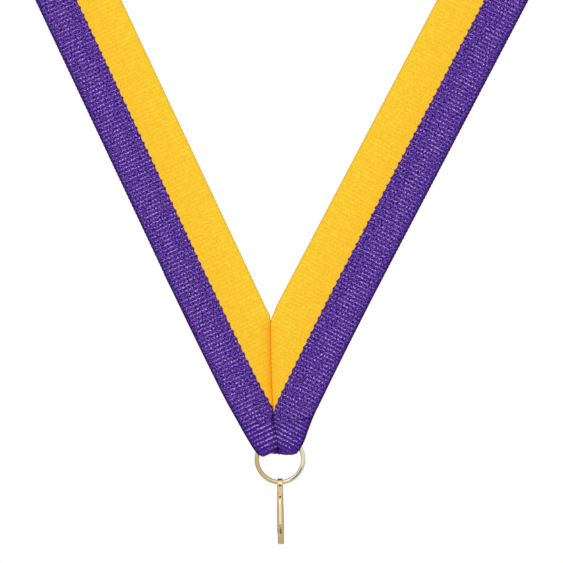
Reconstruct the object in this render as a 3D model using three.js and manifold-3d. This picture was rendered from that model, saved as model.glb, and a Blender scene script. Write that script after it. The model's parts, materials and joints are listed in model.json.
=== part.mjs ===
// Award ribbon: a two-tone neck ribbon whose ends are sewn into a V, a wire ring in the turned-up
// tip of the V, and a small spring clip on the ring for the medal.
// Millimetres, +Z up, the straps face -Y. The origin is the neck rest: the middle of the band's
// inner face at the back of the neck.

import * as THREE from "three";
import { mergeVertices } from "three/addons/utils/BufferGeometryUtils.js";
import Module from "manifold-3d";

const wasm = await Module();
wasm.setup();

const degrees = Math.PI / 180;
const quarterTurn = 90 * degrees;

// Ribbon cloth
const ribbonWidth = 22.2;
const clothThickness = 0.45;
const purpleShare = 0.474;
const leftLean = 25.2 * degrees;
const rightLean = 27.7 * degrees;

// V seam: it runs from the crotch of the V down to the tip
const seamHeight = 29.8;
const seamLean = 1.8 * degrees;
const seamGap = 0.3;
const hemWidth = 5.5;
const hemTop = 0.45;
const hemBridgeTop = 1.35;
const leftCorner = 11.4;
const rightCorner = 8.5;
const gatherRun = 7;

// Loop round the neck
const crestHeight = 170;
const crestRadius = 32;
const crestSteps = 7;
const bandDepth = 90;
const bandRise = 12;
const bandTilt = 90 * degrees;
const bandSteps = 31;

// Sleeve: the V's tip, turned up behind over the ring
const splitGap = 0.3;
const sleeveHeight = 8.1;
const sleeveWidth = 10;
const sleeveShift = 0.2;
const sleeveSteps = 6;
const tailWidth = 11.2;
const tailHeight = 3.6;
const clothClearance = 0.3;

// Threads
const threadDiameter = 0.36;
const threadSides = 6;
const seamStitch = 2.6;
const seamThreadWave = 0.25;
const seamThreadTop = 1.35;
const seamThreadSteps = 4;
const tackHeight = 1;
const tackStitch = 1.8;
const tackHoles = 6;
const tackHoleSides = 8;

// Ring
const ringDiameter = 14;
const ringWire = 1.25;
const ringJoint = 0.3;
const ringSteps = 56;
const ringSides = 10;
const ringDrop = 9.8;
const ringShift = 2.45;

// Clip body: one strip, bent from the front leg over the ring's wire and round to the nose
const clipStrip = 0.45;
const clipWidth = 2;
const clipClearance = 0.15;
const eyeClearance = 0.3;
const frontLeg = 4.7;
const neckLength = 1.6;
const flareHeight = 4.2;
const hookRadius = 3;
const hookHeight = 13.9;
const noseHeight = 0.4;
const bendSteps = 9;

// Clip gate: a spring leaf, riveted to the front leg and held behind the nose
const gateStrip = 0.35;
const gateWidth = 1.8;
const gateRootAbove = 1;
const gateBend = 1.1;
const gateBendGap = 0.2;
const gateOverlap = 0.75;
const gateSlotWidth = 0.6;
const gateSlotLength = 2.5;
const gateSlotRise = 1.1;

// Gate rivet
const rivetDrop = 3.9;
const rivetShank = 0.6;
const rivetHead = 1.2;
const rivetHeadThickness = 0.25;
const rivetSides = 16;

// Cuts run this far past the faces that they go through
const cutOverrun = 1;

// Finishes
const purpleCloth = { color: 0x5f4494, roughness: 0.85, metalness: 0 };
const purpleThread = { color: 0x4a3578, roughness: 0.7, metalness: 0 };
const ringMetal = { color: 0xd6b98a, roughness: 0.2, metalness: 1 };
const clipMetal = { color: 0xdbc397, roughness: 0.22, metalness: 1 };

const vector = (x, y, z) => new THREE.Vector3(x, y, z);
const wireRadius = ringWire / 2;
const halfCloth = clothThickness / 2;
const halfWidth = ribbonWidth / 2;

// Places that follow from the sizes above. The band's middle facet carries the origin.
const facetShare = Math.cos(quarterTurn / bandSteps);
const crestY = halfCloth - bandDepth * facetShare;
const crestZ = -bandRise * facetShare ** 2;
const frontY = crestY - crestRadius;
const crotch = vector(
  (crestHeight * (Math.tan(leftLean) - Math.tan(rightLean)) +
    halfWidth * (1 / Math.cos(leftLean) - 1 / Math.cos(rightLean))) / 2,
  frontY,
  crestZ - crestHeight,
);
const seamOut = vector(Math.cos(seamLean), 0, Math.sin(seamLean));
const seamDown = vector(Math.sin(seamLean), 0, -Math.cos(seamLean));
const lowerZ = crotch.z - seamHeight;
const tackZ = lowerZ + tackHeight;
const ringCentre = vector(
  crotch.x + ringShift,
  frontY + halfCloth + clothClearance + wireRadius,
  lowerZ - ringDrop,
);
const leftCornerX = ringCentre.x - leftCorner;
const rightCornerX = ringCentre.x + rightCorner;
const seamFootX = crotch.x + seamHeight * Math.tan(seamLean);
const hemFront = frontY + halfCloth + clothClearance;
const hemBack = hemFront + clothThickness;
const tailFront = hemBack + clothClearance;
const tailBack = tailFront + clothThickness;

// Geometry helpers

// A closed sheet between two grids of points, outer and inner, with the same rows and columns.
function sheetGeometry(outer, inner) {
  const rows = outer.length;
  const columns = outer[0].length;
  const points = [...outer.flat(), ...inner.flat()];
  const front = (row, column) => row * columns + column;
  const back = (row, column) => rows * columns + front(row, column);
  const index = [];
  const quad = (a, b, c, d) => index.push(a, b, c, a, c, d);
  for (let row = 0; row < rows - 1; row++) {
    for (let column = 0; column < columns - 1; column++) {
      quad(
        front(row, column),
        front(row, column + 1),
        front(row + 1, column + 1),
        front(row + 1, column),
      );
      quad(
        back(row, column),
        back(row + 1, column),
        back(row + 1, column + 1),
        back(row, column + 1),
      );
    }
    const last = columns - 1;
    quad(front(row, 0), front(row + 1, 0), back(row + 1, 0), back(row, 0));
    quad(front(row, last), back(row, last), back(row + 1, last), front(row + 1, last));
  }
  for (let column = 0; column < columns - 1; column++) {
    const last = rows - 1;
    quad(front(0, column), back(0, column), back(0, column + 1), front(0, column + 1));
    quad(
      front(last, column),
      front(last, column + 1),
      back(last, column + 1),
      back(last, column),
    );
  }
  const geometry = new THREE.BufferGeometry().setFromPoints(points);
  geometry.setIndex(index);
  geometry.computeVertexNormals();
  return geometry;
}

function solidOf(geometry) {
  const bare = geometry.clone();
  bare.deleteAttribute("normal");
  bare.deleteAttribute("uv");
  const merged = mergeVertices(bare);
  return new wasm.Manifold(
    new wasm.Mesh({
      numProp: 3,
      vertProperties: merged.getAttribute("position").array,
      triVerts: Uint32Array.from(merged.index.array),
    }),
  );
}

function geometryOf(solid) {
  const mesh = solid.getMesh();
  const geometry = new THREE.BufferGeometry();
  geometry.setAttribute("position", new THREE.BufferAttribute(mesh.vertProperties, 3));
  geometry.setIndex(new THREE.BufferAttribute(mesh.triVerts, 1));
  geometry.computeVertexNormals();
  return geometry;
}

// A flat plate in the plane of the straps: points are [x, z], and it goes from yFront to yBack.
function plateGeometry(points, yFront, yBack) {
  const shape = new THREE.Shape(points.map(([x, z]) => new THREE.Vector2(x, z)));
  const geometry = new THREE.ExtrudeGeometry(shape, {
    depth: yBack - yFront,
    bevelEnabled: false,
  });
  return geometry.rotateX(quarterTurn).translate(0, yBack, 0);
}

function tubeGeometry(path, diameter, sides, steps) {
  const section = new THREE.Shape();
  for (let side = 0; side < sides; side++) {
    const turn = (side / sides) * 2 * Math.PI;
    const point = [Math.cos(turn), Math.sin(turn)].map((share) => (share * diameter) / 2);
    if (side === 0) section.moveTo(...point);
    else section.lineTo(...point);
  }
  section.closePath();
  return new THREE.ExtrudeGeometry(section, { steps, extrudePath: path });
}

function arcPoints(y, z, radius, from, to, steps) {
  return Array.from({ length: steps + 1 }, (_, step) => {
    const turn = from + ((to - from) * step) / steps;
    return new THREE.Vector2(y + radius * Math.cos(turn), z + radius * Math.sin(turn));
  });
}

// A strip of even thickness along points [y, z], extruded across its width along X.
function bentStripGeometry(points, thickness, width) {
  const sides = points.map((point, at) => {
    const before = points[Math.max(at - 1, 0)];
    const after = points[Math.min(at + 1, points.length - 1)];
    const into = at > 0 ? point.clone().sub(before).normalize() : null;
    const away = at < points.length - 1 ? after.clone().sub(point).normalize() : null;
    const along = (into ?? away).clone().add(away ?? into).normalize();
    const stretch = 1 / along.dot(away ?? into);
    const offset = new THREE.Vector2(-along.y, along.x).multiplyScalar((stretch * thickness) / 2);
    return [point.clone().add(offset), point.clone().sub(offset)];
  });
  const outline = [...sides.map(([left]) => left), ...sides.map(([, right]) => right).reverse()];
  const geometry = new THREE.ExtrudeGeometry(new THREE.Shape(outline), {
    depth: width,
    bevelEnabled: false,
  });
  const turned = new THREE.Matrix4().makeBasis(
    vector(0, 1, 0),
    vector(0, 0, 1),
    vector(1, 0, 0),
  );
  return geometry.translate(0, 0, -width / 2).applyMatrix4(turned);
}

function makeMesh(name, geometry, finish) {
  const mesh = new THREE.Mesh(geometry, new THREE.MeshStandardMaterial(finish));
  mesh.name = name;
  return mesh;
}

// Ribbon

// A strap's own directions: side is -1 for the left strap and 1 for the right one. across points
// to the gold edge, and start is on the centre line, level across with the crotch.
function strapFrame(side, lean) {
  const along = vector(side * Math.sin(lean), 0, Math.cos(lean));
  const across = vector(-side * Math.cos(lean), 0, Math.sin(lean));
  const start = crotch.clone().addScaledVector(across, -halfWidth);
  const run = (crestZ - start.z) / along.z - crestRadius;
  return { side, lean, along, across, start, run };
}

const leftStrap = strapFrame(-1, leftLean);
const rightStrap = strapFrame(1, rightLean);

// How far along a strap the column at place `across` ends: on the seam or on the lower edge.
function columnEnd(strap, place) {
  const base = strap.start.clone().addScaledVector(strap.across, place);
  const beyond = strap.side * base.clone().sub(crotch).dot(seamOut);
  const onSeam = (seamGap / 2 - beyond) / (strap.side * strap.along.dot(seamOut));
  const onEdge = (lowerZ - base.z) / strap.along.z;
  return Math.max(onSeam, onEdge);
}

// The columns of a strap: purple edge, foot of the seam, colour boundary and gold edge.
function strapColumns(strap) {
  const foot = crotch
    .clone()
    .addScaledVector(seamDown, seamHeight / Math.cos(seamLean))
    .addScaledVector(seamOut, (strap.side * seamGap) / 2);
  const footPlace = foot.sub(strap.start).dot(strap.across);
  return [-halfWidth, footPlace, ribbonWidth * (purpleShare - 1 / 2), halfWidth];
}

// A row of points square across the band.
function bandRow(centre, across, places) {
  return places.map((place) => centre.clone().addScaledVector(across, place));
}

// Rows of the straight part of a strap, from the mitre upwards. The purple corner is gathered in.
function strapRows(strap, places) {
  const end = places.map((place) =>
    strap.start
      .clone()
      .addScaledVector(strap.across, place)
      .addScaledVector(strap.along, columnEnd(strap, place)),
  );
  const eased = end.map((point) => point.clone().addScaledVector(strap.along, gatherRun));
  end[0].x = strap.side < 0 ? leftCornerX : rightCornerX;
  const level = strap.start.clone().addScaledVector(strap.along, 2 * gatherRun);
  const top = strap.start.clone().addScaledVector(strap.along, strap.run);
  return [end, eased, bandRow(level, strap.across, places), bandRow(top, strap.across, places)].map(
    (points) => ({ points, out: vector(0, -1, 0) }),
  );
}

// Rows over a shoulder: the strap bends back through a quarter turn without turning sideways.
function crestRows(strap, places) {
  const rows = [];
  for (let step = 1; step <= crestSteps; step++) {
    const turn = (quarterTurn * step) / (crestSteps + 1);
    const centre = strap.start
      .clone()
      .addScaledVector(strap.along, strap.run + crestRadius * Math.sin(turn))
      .add(vector(0, crestRadius * (1 - Math.cos(turn)), 0));
    const out = strap.along.clone().multiplyScalar(Math.sin(turn));
    out.y -= Math.cos(turn);
    rows.push({ points: bandRow(centre, strap.across, places), out });
  }
  return rows;
}

// Rows round the back of the neck, left to right, on half an ellipse. The band stands up on its
// purple edge towards the middle.
function neckRows(leftPlaces, rightPlaces) {
  const reach = crotch.x + crestHeight * Math.tan(rightLean) + halfWidth / Math.cos(rightLean);
  const rows = [];
  for (let step = 0; step <= bandSteps; step++) {
    const share = step / bandSteps;
    const turn = share * 2 * quarterTurn;
    const rise = Math.sin(turn) ** 2;
    const lean = leftLean + (rightLean - leftLean) * share;
    const tilt = lean + (bandTilt - lean) * rise;
    const centre = vector(
      -reach * Math.cos(turn),
      crestY + bandDepth * Math.sin(turn),
      crestZ + bandRise * rise,
    );
    const inward = vector(bandDepth * Math.cos(turn), -reach * Math.sin(turn), 0).normalize();
    const across = inward.clone().multiplyScalar(Math.cos(tilt));
    across.z = Math.sin(tilt);
    const out = inward.clone().multiplyScalar(-Math.sin(tilt));
    out.z = Math.cos(tilt);
    const places = leftPlaces.map((place, at) => place + (rightPlaces[at] - place) * share);
    rows.push({ points: bandRow(centre, across, places), out });
  }
  return rows;
}

// The cloth turned under behind the seam, on one side: it starts at the crotch, widens along the
// strap's gold edge until it's hemWidth wide, and a bridge joins it to the strap at the seam.
function hemSolid(strap) {
  const onSeam = (down, out) =>
    crotch
      .clone()
      .addScaledVector(seamDown, down)
      .addScaledVector(seamOut, strap.side * out);
  const flat = (point) => [point.x, point.z];
  const edge = seamGap / 2;
  const spread = hemWidth / Math.tan(strap.lean);
  const foot = seamHeight / Math.cos(seamLean);
  const hem = [
    onSeam(hemTop, edge),
    onSeam(foot, edge),
    onSeam(foot, edge + hemWidth),
    onSeam(spread, edge + hemWidth),
  ];
  const bridge = [
    onSeam(hemTop, edge),
    onSeam(foot, edge),
    onSeam(foot, edge + clothThickness),
    onSeam(hemBridgeTop, edge + clothThickness),
  ];
  return solidOf(plateGeometry(hem.map(flat), hemFront, hemBack)).add(
    solidOf(plateGeometry(bridge.map(flat), frontY, hemBack)),
  );
}

// Needle places of the tack. The seam lies midway between the second and the third of them.
function tackPlaces() {
  return Array.from(
    { length: tackHoles },
    (_, hole) => seamFootX + (hole - 3 / 2) * tackStitch,
  );
}

// Needle holes of the tack stitches, right through all the layers.
function tackHoleSolid() {
  const from = frontY - halfCloth - cutOverrun;
  const to = tailBack + cutOverrun;
  const radius = threadDiameter / 2 + clothClearance;
  const holes = tackPlaces().map((x) =>
    solidOf(
      new THREE.CylinderGeometry(radius, radius, to - from, tackHoleSides).translate(
        x,
        (from + to) / 2,
        tackZ,
      ),
    ),
  );
  return holes.reduce((all, hole) => all.add(hole));
}

function ribbonGeometry() {
  const leftPlaces = strapColumns(leftStrap);
  const rightPlaces = strapColumns(rightStrap);
  const rows = [
    ...strapRows(leftStrap, leftPlaces),
    ...crestRows(leftStrap, leftPlaces),
    ...neckRows(leftPlaces, rightPlaces),
    ...crestRows(rightStrap, rightPlaces).reverse(),
    ...strapRows(rightStrap, rightPlaces).reverse(),
  ];
  const face = (share) =>
    rows.map(({ points, out }) =>
      points.map((point) => point.clone().addScaledVector(out, share * halfCloth)),
    );
  const band = solidOf(sheetGeometry(face(1), face(-1)));
  return geometryOf(
    band.add(hemSolid(leftStrap)).add(hemSolid(rightStrap)).subtract(tackHoleSolid()),
  );
}

// Sleeve

// The sleeve's side view: down the front, round under the ring's wire and up the back, where it
// comes forward again to lie on the hems. Each step gives its place and its outward direction.
function sleeveSide() {
  const top = lowerZ - splitGap;
  const bendRadius = ringCentre.y - frontY;
  const bendZ = lowerZ - sleeveHeight + bendRadius;
  const steps = [{ y: frontY, z: top, out: [-1, 0] }];
  for (let step = 0; step <= sleeveSteps; step++) {
    const turn = 2 * quarterTurn * (1 + step / sleeveSteps);
    steps.push({
      y: ringCentre.y + bendRadius * Math.cos(turn),
      z: bendZ + bendRadius * Math.sin(turn),
      out: [Math.cos(turn), Math.sin(turn)],
    });
  }
  const wireTop = ringCentre.z + ringDiameter / 2;
  const tailMiddle = (tailFront + tailBack) / 2;
  steps.push({ y: ringCentre.y + bendRadius, z: wireTop - wireRadius, out: [1, 0] });
  steps.push({ y: tailMiddle, z: lowerZ, out: [1, 0] });
  steps.push({ y: tailMiddle, z: lowerZ + tailHeight, out: [1, 0] });
  return steps;
}

function sleeveGeometry() {
  const steps = sleeveSide();
  const foldMiddle = ringCentre.x - sleeveShift;
  const tailMiddle = (tackPlaces()[0] + tackPlaces()[tackHoles - 1]) / 2;
  const foot = steps[1].z;
  const edges = ({ y, z }, at) => {
    if (at === 0) return [leftCornerX, rightCornerX];
    const share = y > ringCentre.y ? Math.min(Math.max((z - foot) / (tackZ - foot), 0), 1) : 0;
    const half = (sleeveWidth + (tailWidth - sleeveWidth) * share) / 2;
    const middle = foldMiddle + (tailMiddle - foldMiddle) * share;
    return [middle - half, middle + half];
  };
  const shares = [1, 3 / 4, 1 / 2, 1 / 4, 0];
  const face = (side) =>
    steps.map((step, at) => {
      const [from, to] = edges(step, at);
      return shares.map((share) =>
        vector(
          from + (to - from) * share,
          step.y + side * halfCloth * step.out[0],
          step.z + side * halfCloth * step.out[1],
        ),
      );
    });
  return geometryOf(solidOf(sheetGeometry(face(1), face(-1))).subtract(tackHoleSolid()));
}

// Threads

// The seam's stitches, along the slit between the two hems.
function seamThreadGeometry() {
  const y = hemBack + clothClearance + threadDiameter / 2;
  const from = seamThreadTop;
  const to = seamHeight - tailHeight - clothClearance - threadDiameter;
  const stitches = Math.round((to - from) / seamStitch);
  const points = Array.from({ length: 2 * stitches + 1 }, (_, at) => {
    const down = from + ((to - from) * at) / (2 * stitches);
    return crotch
      .clone()
      .addScaledVector(seamDown, down)
      .addScaledVector(seamOut, at % 2 ? seamThreadWave : -seamThreadWave)
      .setY(y);
  });
  const path = new THREE.CatmullRomCurve3(points, false, "centripetal");
  return tubeGeometry(path, threadDiameter, threadSides, seamThreadSteps * stitches);
}

// The tack's running stitch: out to the front at one needle hole and in again at the next.
function tackThreadGeometry() {
  const frontRun = frontY - halfCloth - clothClearance - threadDiameter / 2;
  const backRun = tailBack + clothClearance + threadDiameter / 2;
  const points = [];
  for (const [at, x] of tackPlaces().entries()) {
    const ends = at % 2 ? [frontRun, backRun] : [backRun, frontRun];
    points.push(vector(x, ends[0], tackZ), vector(x, ends[1], tackZ));
  }
  return polylineTubeGeometry(points, threadDiameter);
}

// A square tube along points that lie in one level plane, mitred at its corners.
function polylineTubeGeometry(points, diameter) {
  const flat = points.map(({ x, y }) => new THREE.Vector2(x, y));
  const level = points[0].z;
  const strip = bentStripGeometry(flat, diameter, diameter);
  const turned = new THREE.Matrix4().makeBasis(
    vector(0, 0, 1),
    vector(1, 0, 0),
    vector(0, 1, 0),
  );
  return strip.applyMatrix4(turned).translate(0, 0, level);
}

// Ring

class RingCurve extends THREE.Curve {
  getPoint(share) {
    const radius = (ringDiameter - ringWire) / 2;
    const open = ringJoint / radius;
    const turn = quarterTurn + open / 2 + share * (4 * quarterTurn - open);
    return vector(radius * Math.cos(turn), 0, radius * Math.sin(turn));
  }
}

function makeRing() {
  const geometry = tubeGeometry(new RingCurve(), ringWire, ringSides, ringSteps);
  const ring = makeMesh("ring", geometry, ringMetal);
  ring.position.copy(ringCentre);
  return ring;
}

// Clip: its group's origin is in the middle of the ring's wire, at the bottom of the ring

const eyeRadius = wireRadius + eyeClearance + clipStrip / 2;
const hookInside = hookRadius - clipStrip / 2;
const hookZ = -hookHeight;
const legFront = -eyeRadius - clipStrip / 2;
const gateRootY = legFront - clipClearance - gateStrip / 2;
const gatePivotZ = -rivetDrop - gateBend;
const gateTipY = -hookInside + clipClearance + gateStrip / 2;
const noseZ = hookZ + noseHeight;
const gateTipZ = noseZ - gateOverlap;
const gateFall = gatePivotZ - gateTipZ;
const gateSlant = Math.atan2(gateRootY - gateTipY, gateFall);
const gateLength = Math.hypot(gateRootY - gateTipY, gateFall);

function clipBodyGeometry() {
  const flareTop = -neckLength;
  const flareFoot = flareTop - flareHeight;
  const flare = new THREE.CubicBezierCurve(
    new THREE.Vector2(eyeRadius, flareTop),
    new THREE.Vector2(eyeRadius, flareTop - flareHeight / 2),
    new THREE.Vector2(hookRadius, flareFoot + flareHeight / 2),
    new THREE.Vector2(hookRadius, flareFoot),
  );
  const centreLine = [
    new THREE.Vector2(-eyeRadius, -frontLeg),
    ...arcPoints(0, 0, eyeRadius, 2 * quarterTurn, 0, bendSteps),
    ...flare.getPoints(bendSteps),
    ...arcPoints(0, hookZ, hookRadius, 0, -2 * quarterTurn, bendSteps),
    new THREE.Vector2(-hookRadius, noseZ),
  ];
  const strip = solidOf(bentStripGeometry(centreLine, clipStrip, clipWidth));
  return geometryOf(strip.subtract(rivetHoleSolid()));
}

function rivetHoleSolid() {
  const radius = rivetShank / 2 + clipClearance;
  const from = gateRootY - gateStrip / 2 - cutOverrun;
  const to = -eyeRadius + clipStrip / 2 + cutOverrun;
  return solidOf(
    new THREE.CylinderGeometry(radius, radius, to - from, rivetSides).translate(
      0,
      (from + to) / 2,
      -rivetDrop,
    ),
  );
}

// The leaf's riveted end, flat on the front leg.
function gateRootGeometry() {
  const height = gateRootAbove + gateBend - gateBendGap / 2;
  const plate = new THREE.BoxGeometry(gateWidth, gateStrip, height).translate(
    0,
    gateRootY,
    gateRootAbove - rivetDrop - height / 2,
  );
  return geometryOf(solidOf(plate).subtract(rivetHoleSolid()));
}

// The free leaf, hanging from its bend, with a slot and a round end.
function gateLeafGeometry() {
  const half = gateWidth / 2;
  const leaf = new THREE.Shape();
  leaf.moveTo(-half, -gateBendGap / 2);
  leaf.lineTo(-half, -gateLength + half);
  leaf.absarc(0, -gateLength + half, half, 2 * quarterTurn, 4 * quarterTurn, false);
  leaf.lineTo(half, -gateBendGap / 2);
  leaf.closePath();
  const slotHalf = gateSlotWidth / 2;
  const slotFoot = -gateLength + gateSlotRise + slotHalf;
  const slotTop = slotFoot + gateSlotLength - gateSlotWidth;
  const slot = new THREE.Path();
  slot.absarc(0, slotTop, slotHalf, 0, 2 * quarterTurn, false);
  slot.absarc(0, slotFoot, slotHalf, 2 * quarterTurn, 4 * quarterTurn, false);
  slot.closePath();
  leaf.holes.push(slot);
  return new THREE.ExtrudeGeometry(leaf, {
    depth: gateStrip,
    bevelEnabled: false,
    curveSegments: bendSteps,
  })
    .rotateX(quarterTurn)
    .translate(0, gateStrip / 2, 0);
}

function rivetGeometry() {
  const head = rivetHead / 2;
  const shank = rivetShank / 2;
  const grip = gateStrip + clipStrip + 3 * clipClearance;
  const profile = [
    [0, -rivetHeadThickness],
    [head, -rivetHeadThickness],
    [head, 0],
    [shank, 0],
    [shank, grip],
    [head, grip],
    [head, grip + rivetHeadThickness],
    [0, grip + rivetHeadThickness],
  ].map(([x, y]) => new THREE.Vector2(x, y));
  return new THREE.LatheGeometry(profile, rivetSides);
}

function makeClip() {
  const clip = new THREE.Group();
  clip.position.copy(ringCentre);
  clip.position.z -= (ringDiameter - ringWire) / 2;
  const rivet = makeMesh("gate_rivet", rivetGeometry(), clipMetal);
  rivet.position.set(0, gateRootY - gateStrip / 2 - clipClearance, -rivetDrop);
  const gate = new THREE.Group();
  gate.position.set(0, gateRootY, gatePivotZ);
  gate.rotation.x = -gateSlant;
  gate.add(makeMesh("clip_gate", gateLeafGeometry(), clipMetal));
  clip.add(
    makeMesh("clip_body", clipBodyGeometry(), clipMetal),
    makeMesh("gate_root", gateRootGeometry(), clipMetal),
    rivet,
    gate,
  );
  return clip;
}

const awardRibbon = new THREE.Group();
awardRibbon.add(
  makeMesh("ribbon", ribbonGeometry(), purpleCloth),
  makeMesh("ring_sleeve", sleeveGeometry(), purpleCloth),
  makeMesh("seam_thread", seamThreadGeometry(), purpleThread),
  makeMesh("tack_thread", tackThreadGeometry(), purpleThread),
  makeRing(),
  makeClip(),
);

export default awardRibbon;
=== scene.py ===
"""An award ribbon: a two-tone grosgrain loop sewn into a V, a wire ring in the turned-up tip of
the V, and a small spring clip on the ring for the medal. Metres, +Z up, the straps face -Y."""

import json
import math

import bpy
import numpy as np
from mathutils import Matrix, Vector


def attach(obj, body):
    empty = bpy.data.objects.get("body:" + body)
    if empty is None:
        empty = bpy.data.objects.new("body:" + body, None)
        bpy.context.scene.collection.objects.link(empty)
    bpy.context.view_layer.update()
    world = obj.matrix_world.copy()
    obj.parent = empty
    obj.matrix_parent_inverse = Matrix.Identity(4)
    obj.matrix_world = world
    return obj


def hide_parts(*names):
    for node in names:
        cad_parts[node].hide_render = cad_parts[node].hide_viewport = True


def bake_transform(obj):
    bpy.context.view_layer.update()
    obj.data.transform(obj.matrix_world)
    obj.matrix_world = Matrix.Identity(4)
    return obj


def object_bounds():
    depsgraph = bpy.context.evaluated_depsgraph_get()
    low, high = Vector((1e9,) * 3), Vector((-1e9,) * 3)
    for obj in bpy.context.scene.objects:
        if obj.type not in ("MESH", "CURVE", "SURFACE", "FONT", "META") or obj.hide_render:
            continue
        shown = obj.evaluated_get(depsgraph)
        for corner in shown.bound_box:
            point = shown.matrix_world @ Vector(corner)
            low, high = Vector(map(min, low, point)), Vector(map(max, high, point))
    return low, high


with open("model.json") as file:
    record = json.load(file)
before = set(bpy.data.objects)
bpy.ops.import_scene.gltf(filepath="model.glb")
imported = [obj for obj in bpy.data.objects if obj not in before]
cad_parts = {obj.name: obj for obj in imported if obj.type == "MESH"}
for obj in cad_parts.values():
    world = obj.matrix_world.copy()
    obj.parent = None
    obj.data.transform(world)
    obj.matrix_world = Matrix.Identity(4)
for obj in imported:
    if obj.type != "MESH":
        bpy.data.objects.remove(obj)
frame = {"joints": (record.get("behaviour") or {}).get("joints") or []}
cad_low, cad_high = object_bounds()

MM = 0.001
FULL_TURN = 2 * math.pi

# Of two values, -1 has the left strap's and 1 the right one's. Two numbers in round brackets are a
# start and a run, over which something rises from 0 to 1.

# Ribbon cloth
RIBBON_WIDTH = 22.2 * MM
CLOTH_THICKNESS = 0.45 * MM
CLOTH_CLEARANCE = 0.3 * MM
LEFT_LEAN = math.radians(25.2)
RIGHT_LEAN = math.radians(27.7)
RIB_PITCH = 1.145 * MM
RIB_RELIEF = 0.022 * MM
TIP_RIB_RELIEF = 0.06 * MM
SELVEDGE_WAVE = 0.05 * MM
SELVEDGE_ROUNDING = 0.25 * MM
SELVEDGE_THINNING = 0.45
STRAP_WIDTH_SHARE = {-1: 0.965, 1: 1.009}
STRAP_SHIFT = {-1: 0.0, 1: 0.2 * MM}

# Seam of the V, and the cloth turned under behind it
SEAM_HEIGHT = 29.8 * MM
SEAM_LEAN = math.radians(1.8)
SEAM_GAP = -0.05 * MM
ROLL_RADIUS = 0.375 * MM
ROLL_BULGE = 0.15 * MM
HEM_WIDTH = 5.5 * MM
HEM_IN_SLEEVE = 0.8 * MM
HEM_TAPER = 4.5 * MM
HEM_EDGE = 0.3 * MM
ROLL_RUN = 1.3 * MM
SEAM_DIP = {-1: 0.3 * MM, 1: 0.1 * MM}
SEAM_DIP_WIDTH = {-1: 1.3 * MM, 1: 0.8 * MM}
SEAM_DIP_FOOT = (0, 6 * MM)
SEAM_DIP_TOP = (0, 4 * MM)
# Painted shade by the seam: above the tack it fades off from the seam (orange in the gold), below it
# lies in a narrow valley, deepest at the tack.
SEAM_PAINTED_SHADE = {-1: 1.0, 1: 0.55}
SEAM_PAINTED_SHADE_RUN = {-1: 1.3 * MM, 1: 0.6 * MM}
SEAM_PAINTED_SHADE_TOP = (0, 3 * MM)
GOLD_ABOVE_TACK = (2.7 * MM, 1.5 * MM)
VALLEY_WIDTH = {-1: 0.6 * MM, 1: 0.35 * MM}
VALLEY_HEIGHT = 2.4 * MM
VALLEY_LEAST = 0.45
NOTCH_DEPTH = 1.3 * MM
NOTCH_WIDTH = 0.75 * MM
NOTCH_HEIGHT = 5.2 * MM
NOTCH_FADE = 3 * MM
ROWS_DRAWN_ABOVE = 6 * MM
DRAWN_FADE = 3 * MM

# Loop round the neck
CREST_HEIGHT = 170 * MM
CREST_RADIUS = 32 * MM
BAND_DEPTH = 90 * MM
BAND_RISE = 12 * MM

# Turned-up tip: it goes round the ring's wire, and up behind to the tack
RING_DIAMETER = 14 * MM
RING_WIRE = 1.25 * MM
RING_JOINT = 0.3 * MM
RING_DROP = 9.8 * MM
RING_SHIFT = 2.45 * MM
TACK_HEIGHT = 1 * MM
TACK_DENT = {-1: 0.2 * MM, 1: 0.4 * MM}
TACK_DENT_WIDTH = 0.5 * MM
TACK_CREASE_WIDTH = 0.46 * MM
TACK_CREASE_DROP = 0.88 * MM
TACK_CREASE_SLOPE = {-1: 0.04, 1: 0.13}
# Widths of the painted shade along the tack's crease, which tapers towards the seam on the right and
# towards the purple edge on the left.
CREASE_LEFT_SHARE = 0.45
CREASE_LEFT = (-7 * MM, 2 * MM)
CREASE_RIGHT = (2.5 * MM, 3 * MM)
CREASE_LEAST = 0.1
CREASE_FAR = 4
TACK_PULL = {-1: 0.6 * MM, 1: 0.25 * MM}
TACK_PULL_HEIGHT = 1.6 * MM
TACK_PULL_WIDTH = 0.8 * MM
TIP_BULGE = 0.4 * MM
TIP_BULGE_RUN = 3.2 * MM
TIP_RUN = 47.5 * MM
TAIL_PULL = 1.15 * MM
TAIL_PULL_RISE = (2 * MM, 5 * MM)
STRAINED = (0, 1.5 * MM)
ROUNDED = (-1.8 * MM, 2.4 * MM)

# Outlines of the tip, seen from the front: points to the right of the ring's middle and above it.
# The cloth below the fold counts on downwards, as if it weren't turned up.
LEFT_EDGE = ((-31.84, 50.67), (-28.5, 43.79), (-23.19, 32.77), (-17.79, 21.76), (-15.0, 16.25),
             (-12.55, 11.84), (-10.12, 7.5), (-8.8, 5.23), (-7.44, 3.03), (-6.4, 1.6),
             (-5.35, 0.0), (-5.15, -2.6), (-5.15, -14.5))
RIGHT_EDGE = ((28.76, 50.67), (25.19, 43.79), (19.59, 32.77), (14.12, 21.76), (11.44, 16.25),
              (9.3, 11.84), (7.6, 7.44), (6.82, 5.23), (5.7, 3.03), (5.0, 1.7), (4.7, 0.0),
              (4.7, -2.6), (5.1, -14.5))
SEAM_LINE = ((-2.62, 39.6), (-2.3, 21.8), (-1.85, 14.6), (-1.85, 12.2), (-1.72, 10.2), (-1.24, 7.4),
             (-0.66, 4.7), (-0.62, 2.0), (-1.0, -2.6), (-1.0, -14.5))
GATHER_TOP = 50.67 * MM
FOLD_LINE = ((-9.0, 2.7), (-5.6, 2.66), (-5.15, 2.5), (-4.75, 2.38), (-4.4, 2.45), (-3.6, 2.82),
             (-2.75, 3.18), (-2.2, 3.32), (-1.4, 3.15), (0.0, 3.05), (1.4, 2.92), (3.0, 2.9),
             (3.9, 3.05), (4.5, 3.3), (5.0, 3.7), (5.6, 4.4), (6.4, 5.2))

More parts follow.
